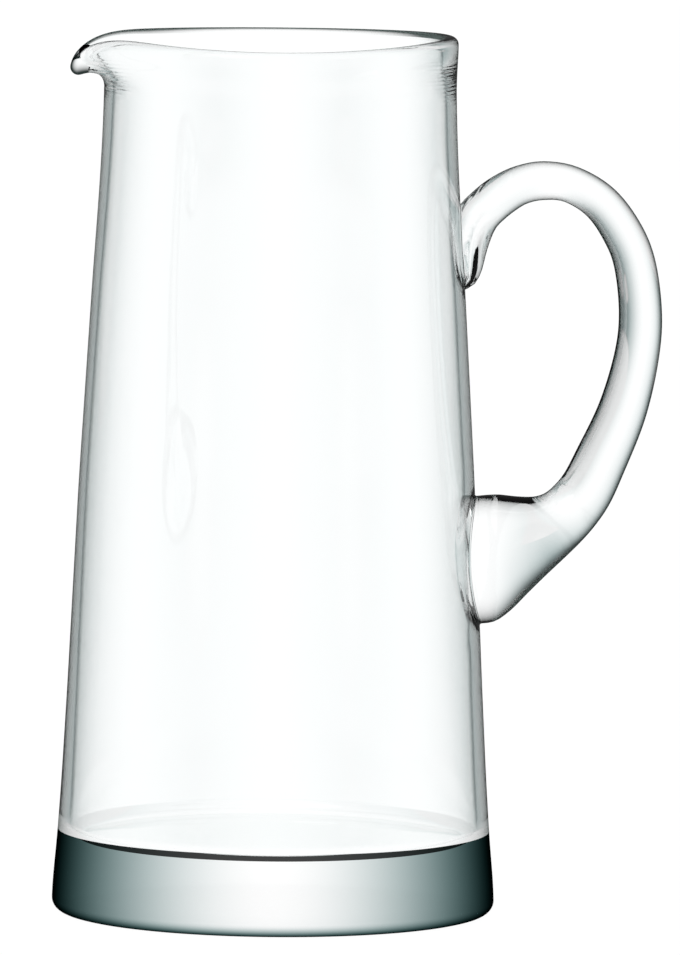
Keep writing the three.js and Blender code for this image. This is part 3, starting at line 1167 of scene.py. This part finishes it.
@dataclass(frozen=True)
class DeepGlass(Finish):
    """The same glass as a solid block, ground flat below and polished at the side.

    A solid round block bends the view so far at its edges that it shows the dark ends of the room there.
    Here the view passes straight through, and that dark is a painted shade: white where the block faces
    the eye, falling off to a green black as it turns away.
    """

    name: str = "polished_solid_soda_lime_glass"
    red_power: float = 4.2
    green_power: float = 3.4

    def surface(self, tree: NodeTree) -> Node:
        """The glass: light that enters takes a painted shade by the angle, and light that leaves doesn't.

        Args:
            tree: the material's node tree.

        Returns:
            The shader.
        """
        facing = add_node(tree, "LayerWeight").outputs["Facing"]
        cosine = add_node(tree, "Math", LESS, 1.0, facing)
        # The painted shade: white head on, falling to a green black at a grazing angle
        bent = green_fall(tree, cosine, self.red_power, self.green_power)
        leaving = add_node(tree, "NewGeometry").outputs["Backfacing"]
        tint_and_painted_shade = add_node(tree, "Mix", {"data_type": "RGBA"}, leaving, at_6=bent, at_7=linear(WHITE))
        return add_node(tree, "BsdfTransparent", color=tint_and_painted_shade.outputs["Result"])


@dataclass(frozen=True)
class PaleFloor(Finish):
    """A plain matt white sheet, which stays white to the camera but for the jug's faint shadow."""

    name: str = "matt_white_sheet"
    colour: str = "#F4F5F5"
    glow_share: float = 0.94
    glow: float = 1.04

    def surface(self, tree: NodeTree) -> Node:
        """The sheet: mostly an even glow, and the rest a matt white that takes the shadow.

        Args:
            tree: the material's node tree.

        Returns:
            The shader.
        """
        matt = add_node(tree, "BsdfDiffuse", color=linear(self.colour))
        glow = add_node(tree, "Emission", color=linear(WHITE), strength=self.glow)
        seen = add_node(tree, "LightPath").outputs["Is Camera Ray"]
        share = add_node(tree, "Math", TIMES, seen, self.glow_share)
        return add_node(tree, "MixShader", {}, share, matt, glow)


@dataclass(frozen=True)
class Surroundings:
    """White surroundings with dark gaps, as glass is photographed, and a dim room for its reflections.

    The camera sees plain white. Through the glass, the light is full along the two upright planes that
    hold the jug's own axes, and falls off with the angle from the nearer one, as a power of its cosine.
    So each edge that bends the view sideways draws itself dark. A level view from a corner passes a
    narrower white strip along the diagonals, and light that goes steeply down meets a pale floor.
    """

    green_power: float = 1.6
    red_power: float = 1.95
    diagonal_power: float = 24.0
    diagonal_light: float = 0.75
    level_sine: float = 0.04
    level_fade: float = 0.015
    steep_sine: float = 0.17
    steep_fade: float = 0.02
    steep_light: float = 0.85
    through_light: float = 1.08
    mirrored_light: float = 0.06
    open_light: float = 0.9

    def through_glass(self, tree: NodeTree) -> NodeSocket:
        """The light through the glass, from the ray's direction x, y and z.

        Along the planes it is one less the lower of x squared and y squared, to a power. The strip is one
        less half the square of the difference between x and y without their signs, to a power.

        Args:
            tree: the world's node tree.

        Returns:
            The output that holds the light's colour.
        """
        place = add_node(tree, "TexCoord")
        split = add_node(tree, "SeparateXYZ", vector=place.outputs["Generated"])
        x, y, z = (split.outputs[axis] for axis in "XYZ")
        one, other = (add_node(tree, "Math", TIMES, part, part) for part in (x, y))
        off_plane = add_node(tree, "Math", {"operation": "MINIMUM"}, one, other)
        along = add_node(tree, "Math", LESS, 1.0, off_plane)
        straight = green_fall(tree, along, self.red_power, self.green_power)
        wide, deep, high = (add_node(tree, "Math", UNSIGNED, part) for part in (x, y, z))
        apart = add_node(tree, "Math", LESS, wide, deep)
        square = add_node(tree, "Math", TIMES, apart, apart)
        near = add_node(tree, "Math", {"operation": "MULTIPLY_ADD"}, square, -0.5, 1.0)
        strip = add_node(tree, "Math", POWER, near, self.diagonal_power)
        gone, full = self.level_sine + self.level_fade, self.level_sine - self.level_fade
        level = add_node(tree, "MapRange", EASED, high, gone, full)
        shown = add_node(tree, "Math", TIMES, strip, level)
        dimmed = add_node(tree, "Math", TIMES, shown, self.diagonal_light)
        gone, full = self.steep_fade - self.steep_sine, -self.steep_fade - self.steep_sine
        steep = add_node(tree, "MapRange", EASED, z, gone, full, at_4=self.steep_light)
        aside = add_node(tree, "Math", {"operation": "MAXIMUM"}, dimmed, steep)
        lighter = {"data_type": "RGBA", "blend_type": "LIGHTEN"}
        return add_node(tree, "Mix", lighter, 1.0, at_6=straight, at_7=aside).outputs["Result"]

    def world(self) -> World:
        """Builds the world, which differs for rays to the camera, through the glass and off its surface.

        Returns:
            The world.
        """
        made = bpy.data.worlds.new("white_surroundings")
        made.use_nodes = True
        tree = made.node_tree
        tree.nodes.clear()
        seen = self.through_glass(tree)
        through = add_node(tree, "Background", color=seen, strength=self.through_light)
        mirrored, around, behind = (
            add_node(tree, "Background", color=linear(WHITE), strength=strength)
            for strength in (self.mirrored_light, self.open_light, 1.0)
        )
        path = add_node(tree, "LightPath").outputs
        glossy = add_node(tree, "MixShader", {}, path["Is Glossy Ray"], around, mirrored)
        bent = add_node(tree, "MixShader", {}, path["Transmission Depth"], glossy, through)
        mixed = add_node(tree, "MixShader", {}, path["Is Camera Ray"], bent, behind)
        add_node(tree, "OutputWorld", surface=mixed)
        return made


@dataclass
class Studio:
    """The camera at the photograph's place, the pale floor, a soft lamp and the white surroundings.

    Lengths are in metres and angles in degrees.
    """

    camera_distance: float = 3.6
    camera_height: float = 0.462
    camera_dip: float = 5.281
    camera_turn: float = 0.298
    camera_roll: float = 0.573
    lens_mm: float = 460.27
    film_mm: float = 36.0
    clip_end: float = 100.0
    floor_half: float = 40.0
    floor_drop: float = 0.0003
    lamp_power: float = 6.0
    lamp_size: float = 1.2
    lamp_place: tuple[float, float, float] = (-1.0, -1.4, 2.2)

    def add_camera(self) -> None:
        """Adds the camera, which looks along +Y, a little down and a little to the right."""
        data = bpy.data.cameras.new("camera")
        data.sensor_width = self.film_mm
        data.lens = self.lens_mm
        data.clip_end = self.clip_end
        camera = linked_object("camera", data)
        angles = (self.camera_dip, self.camera_turn, self.camera_roll)
        dip, turn, roll = (math.radians(angle) for angle in angles)
        steps = ((-turn, "Z"), (math.pi / 2.0 - dip, "X"), (roll, "Z"))
        place = Matrix.Translation((0.0, -self.camera_distance, self.camera_height))
        for angle, axis in steps:
            place = place @ Matrix.Rotation(angle, 4, axis)
        camera.matrix_world = place
        bpy.context.scene.camera = camera

    def add_floor(self) -> None:
        """Adds the floor, a flat sheet just under the jug that the glass itself doesn't show."""
        half = self.floor_half
        corners = [(-half, -half), (half, -half), (half, half), (-half, half)]
        mesh = bpy.data.meshes.new("floor")
        mesh.from_pydata([(x, y, -self.floor_drop) for x, y in corners], [], [(0, 1, 2, 3)])
        mesh.materials.append(PaleFloor().material())
        floor = linked_object("floor", mesh)
        floor.visible_transmission = False
        floor.visible_glossy = False
        floor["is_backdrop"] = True

    def add_lamp(self) -> None:
        """Adds a large soft lamp above and before the jug, aimed at its middle."""
        data = bpy.data.lights.new("soft_lamp", "AREA")
        data.shape = "DISK"
        data.size = self.lamp_size
        data.energy = self.lamp_power
        lamp = linked_object("soft_lamp", data)
        low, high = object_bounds()
        place = Vector(self.lamp_place)
        aim = (Vector(low) + Vector(high)) / 2.0 - place
        lamp.matrix_world = Matrix.Translation(place) @ aim.to_track_quat("-Z", "Y").to_matrix().to_4x4()

    def build(self) -> None:
        """Builds the whole studio."""
        self.add_camera()
        self.add_floor()
        self.add_lamp()
        scene = bpy.context.scene
        scene.world = Surroundings().world()
        scene.view_settings.view_transform = "Standard"


def main() -> None:
    """Builds the jug around the frame, dresses it, and lights it."""
    logging.basicConfig(level=logging.INFO)
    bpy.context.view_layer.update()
    wall_top, base_top = node_top_mm("blown_wall"), node_top_mm("heavy_base")
    vessel = Vessel(height=wall_top[2], foot_radius=base_top[1], floor_level=base_top[2])
    glass = GlassJug(vessel, Handle(vessel)).build()
    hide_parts("blown_wall", "heavy_base", "drawn_handle")
    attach(glass, "root")
    LOG.info("%s: one closed skin with %d faces", glass.name, len(glass.data.polygons))
    Studio().build()
    LOG.info("studio: camera, floor, lamp and surroundings")


if __name__ == "__main__":
    main()
